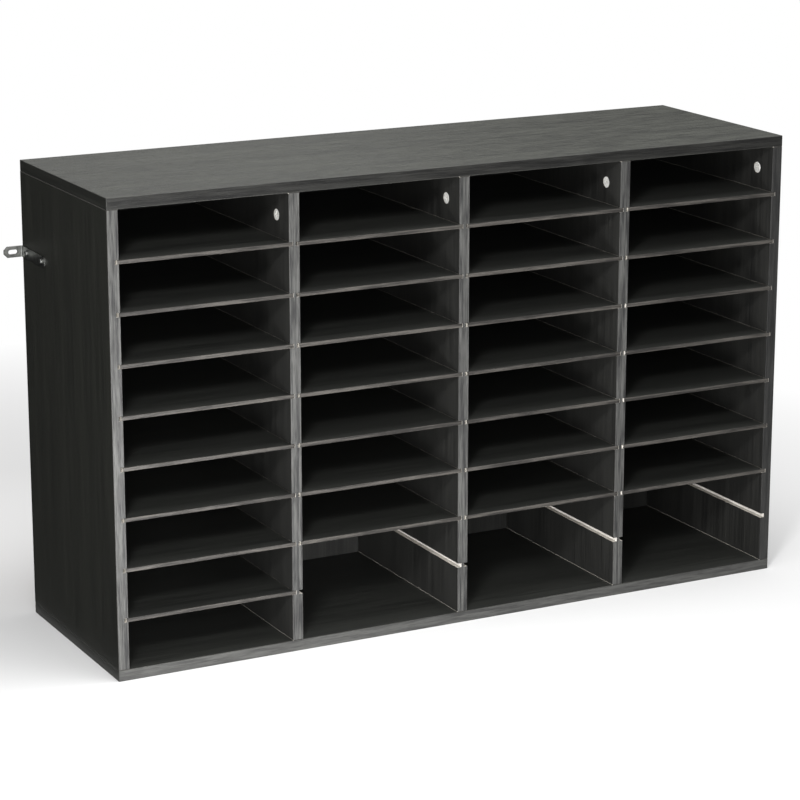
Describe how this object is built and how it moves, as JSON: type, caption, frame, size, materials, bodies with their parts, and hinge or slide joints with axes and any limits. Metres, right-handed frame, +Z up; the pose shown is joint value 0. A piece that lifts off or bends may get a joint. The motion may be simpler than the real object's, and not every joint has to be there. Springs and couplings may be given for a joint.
{
  "type": "literature organizer",
  "caption": "Low open-front paper organizer of black wood-grain boards: grooved uprights hold loose thin shelves that slide out, making wide flat pigeonholes, with wall brackets behind.",
  "frame": {"origin": "on the floor under the middle of the cabinet", "axes": "+X to the right along the width as seen from the front, +Y to the back, +Z up"},
  "size_m": [1.054, 0.305, 0.628],
  "materials": {
    "laminate": "black wood-grain laminate on particleboard, satin",
    "shelf_board": "black laminated hardboard, satin",
    "back_board": "black faced hardboard, bare brown on its back",
    "cam_zinc": "die-cast zinc",
    "fitting_steel": "zinc-plated steel",
    "bracket_zinc": "zinc-plated bent strip",
    "dowel_wood": "plain beech"
  },
  "bodies": {
    "cabinet": {"top_panel": "laminate", "bottom_panel": "laminate", "left_side_panel": "laminate", "right_side_panel": "laminate", "left_divider": "laminate", "centre_divider": "laminate", "right_divider": "laminate", "back_board_left": "back_board", "back_board_right": "back_board", "cam_locks": "cam_zinc", "cam_bolts": "fitting_steel", "wood_dowels": "dowel_wood", "bottom_screws": "fitting_steel", "back_board_nails": "fitting_steel", "left_wall_bracket": "bracket_zinc", "right_wall_bracket": "bracket_zinc", "bracket_screws": "bracket_zinc"},
    "column_1_shelf_1": {"column_1_shelf_1": "shelf_board"},
    "column_1_shelf_2": {"column_1_shelf_2": "shelf_board"},
    "column_1_shelf_3": {"column_1_shelf_3": "shelf_board"},
    "column_1_shelf_4": {"column_1_shelf_4": "shelf_board"},
    "column_1_shelf_5": {"column_1_shelf_5": "shelf_board"},
    "column_1_shelf_6": {"column_1_shelf_6": "shelf_board"},
    "column_1_shelf_7": {"column_1_shelf_7": "shelf_board"},
    "column_1_shelf_8": {"column_1_shelf_8": "shelf_board"},
    "column_2_shelf_1": {"column_2_shelf_1": "shelf_board"},
    "column_2_shelf_2": {"column_2_shelf_2": "shelf_board"},
    "column_2_shelf_3": {"column_2_shelf_3": "shelf_board"},
    "column_2_shelf_4": {"column_2_shelf_4": "shelf_board"},
    "column_2_shelf_5": {"column_2_shelf_5": "shelf_board"},
    "column_2_shelf_6": {"column_2_shelf_6": "shelf_board"},
    "column_2_shelf_7": {"column_2_shelf_7": "shelf_board"},
    "column_3_shelf_1": {"column_3_shelf_1": "shelf_board"},
    "column_3_shelf_2": {"column_3_shelf_2": "shelf_board"},
    "column_3_shelf_3": {"column_3_shelf_3": "shelf_board"},
    "column_3_shelf_4": {"column_3_shelf_4": "shelf_board"},
    "column_3_shelf_5": {"column_3_shelf_5": "shelf_board"},
    "column_3_shelf_6": {"column_3_shelf_6": "shelf_board"},
    "column_3_shelf_7": {"column_3_shelf_7": "shelf_board"},
    "column_4_shelf_1": {"column_4_shelf_1": "shelf_board"},
    "column_4_shelf_2": {"column_4_shelf_2": "shelf_board"},
    "column_4_shelf_3": {"column_4_shelf_3": "shelf_board"},
    "column_4_shelf_4": {"column_4_shelf_4": "shelf_board"},
    "column_4_shelf_5": {"column_4_shelf_5": "shelf_board"},
    "column_4_shelf_6": {"column_4_shelf_6": "shelf_board"},
    "column_4_shelf_7": {"column_4_shelf_7": "shelf_board"}
  },
  "joints": [
    {"name": "column_1_shelf_1_slide", "type": "slide", "parent": "cabinet", "child": "column_1_shelf_1", "axis": [0, -1, 0], "range_m": [0, 0.31]},
    {"name": "column_1_shelf_2_slide", "type": "slide", "parent": "cabinet", "child": "column_1_shelf_2", "axis": [0, -1, 0], "range_m": [0, 0.31]},
    {"name": "column_1_shelf_3_slide", "type": "slide", "parent": "cabinet", "child": "column_1_shelf_3", "axis": [0, -1, 0], "range_m": [0, 0.31]},
    {"name": "column_1_shelf_4_slide", "type": "slide", "parent": "cabinet", "child": "column_1_shelf_4", "axis": [0, -1, 0], "range_m": [0, 0.31]},
    {"name": "column_1_shelf_5_slide", "type": "slide", "parent": "cabinet", "child": "column_1_shelf_5", "axis": [0, -1, 0], "range_m": [0, 0.31]},
    {"name": "column_1_shelf_6_slide", "type": "slide", "parent": "cabinet", "child": "column_1_shelf_6", "axis": [0, -1, 0], "range_m": [0, 0.31]},
    {"name": "column_1_shelf_7_slide", "type": "slide", "parent": "cabinet", "child": "column_1_shelf_7", "axis": [0, -1, 0], "range_m": [0, 0.31]},
    {"name": "column_1_shelf_8_slide", "type": "slide", "parent": "cabinet", "child": "column_1_shelf_8", "axis": [0, -1, 0], "range_m": [0, 0.31]},
    {"name": "column_2_shelf_1_slide", "type": "slide", "parent": "cabinet", "child": "column_2_shelf_1", "axis": [0, -1, 0], "range_m": [0, 0.31]},
    {"name": "column_2_shelf_2_slide", "type": "slide", "parent": "cabinet", "child": "column_2_shelf_2", "axis": [0, -1, 0], "range_m": [0, 0.31]},
    {"name": "column_2_shelf_3_slide", "type": "slide", "parent": "cabinet", "child": "column_2_shelf_3", "axis": [0, -1, 0], "range_m": [0, 0.31]},
    {"name": "column_2_shelf_4_slide", "type": "slide", "parent": "cabinet", "child": "column_2_shelf_4", "axis": [0, -1, 0], "range_m": [0, 0.31]},
    {"name": "column_2_shelf_5_slide", "type": "slide", "parent": "cabinet", "child": "column_2_shelf_5", "axis": [0, -1, 0], "range_m": [0, 0.31]},
    {"name": "column_2_shelf_6_slide", "type": "slide", "parent": "cabinet", "child": "column_2_shelf_6", "axis": [0, -1, 0], "range_m": [0, 0.31]},
    {"name": "column_2_shelf_7_slide", "type": "slide", "parent": "cabinet", "child": "column_2_shelf_7", "axis": [0, -1, 0], "range_m": [0, 0.31]},
    {"name": "column_3_shelf_1_slide", "type": "slide", "parent": "cabinet", "child": "column_3_shelf_1", "axis": [0, -1, 0], "range_m": [0, 0.31]},
    {"name": "column_3_shelf_2_slide", "type": "slide", "parent": "cabinet", "child": "column_3_shelf_2", "axis": [0, -1, 0], "range_m": [0, 0.31]},
    {"name": "column_3_shelf_3_slide", "type": "slide", "parent": "cabinet", "child": "column_3_shelf_3", "axis": [0, -1, 0], "range_m": [0, 0.31]},
    {"name": "column_3_shelf_4_slide", "type": "slide", "parent": "cabinet", "child": "column_3_shelf_4", "axis": [0, -1, 0], "range_m": [0, 0.31]},
    {"name": "column_3_shelf_5_slide", "type": "slide", "parent": "cabinet", "child": "column_3_shelf_5", "axis": [0, -1, 0], "range_m": [0, 0.31]},
    {"name": "column_3_shelf_6_slide", "type": "slide", "parent": "cabinet", "child": "column_3_shelf_6", "axis": [0, -1, 0], "range_m": [0, 0.31]},
    {"name": "column_3_shelf_7_slide", "type": "slide", "parent": "cabinet", "child": "column_3_shelf_7", "axis": [0, -1, 0], "range_m": [0, 0.31]},
    {"name": "column_4_shelf_1_slide", "type": "slide", "parent": "cabinet", "child": "column_4_shelf_1", "axis": [0, -1, 0], "range_m": [0, 0.31]},
    {"name": "column_4_shelf_2_slide", "type": "slide", "parent": "cabinet", "child": "column_4_shelf_2", "axis": [0, -1, 0], "range_m": [0, 0.31]},
    {"name": "column_4_shelf_3_slide", "type": "slide", "parent": "cabinet", "child": "column_4_shelf_3", "axis": [0, -1, 0], "range_m": [0, 0.31]},
    {"name": "column_4_shelf_4_slide", "type": "slide", "parent": "cabinet", "child": "column_4_shelf_4", "axis": [0, -1, 0], "range_m": [0, 0.31]},
    {"name": "column_4_shelf_5_slide", "type": "slide", "parent": "cabinet", "child": "column_4_shelf_5", "axis": [0, -1, 0], "range_m": [0, 0.31]},
    {"name": "column_4_shelf_6_slide", "type": "slide", "parent": "cabinet", "child": "column_4_shelf_6", "axis": [0, -1, 0], "range_m": [0, 0.31]},
    {"name": "column_4_shelf_7_slide", "type": "slide", "parent": "cabinet", "child": "column_4_shelf_7", "axis": [0, -1, 0], "range_m": [0, 0.31]}
  ]
}
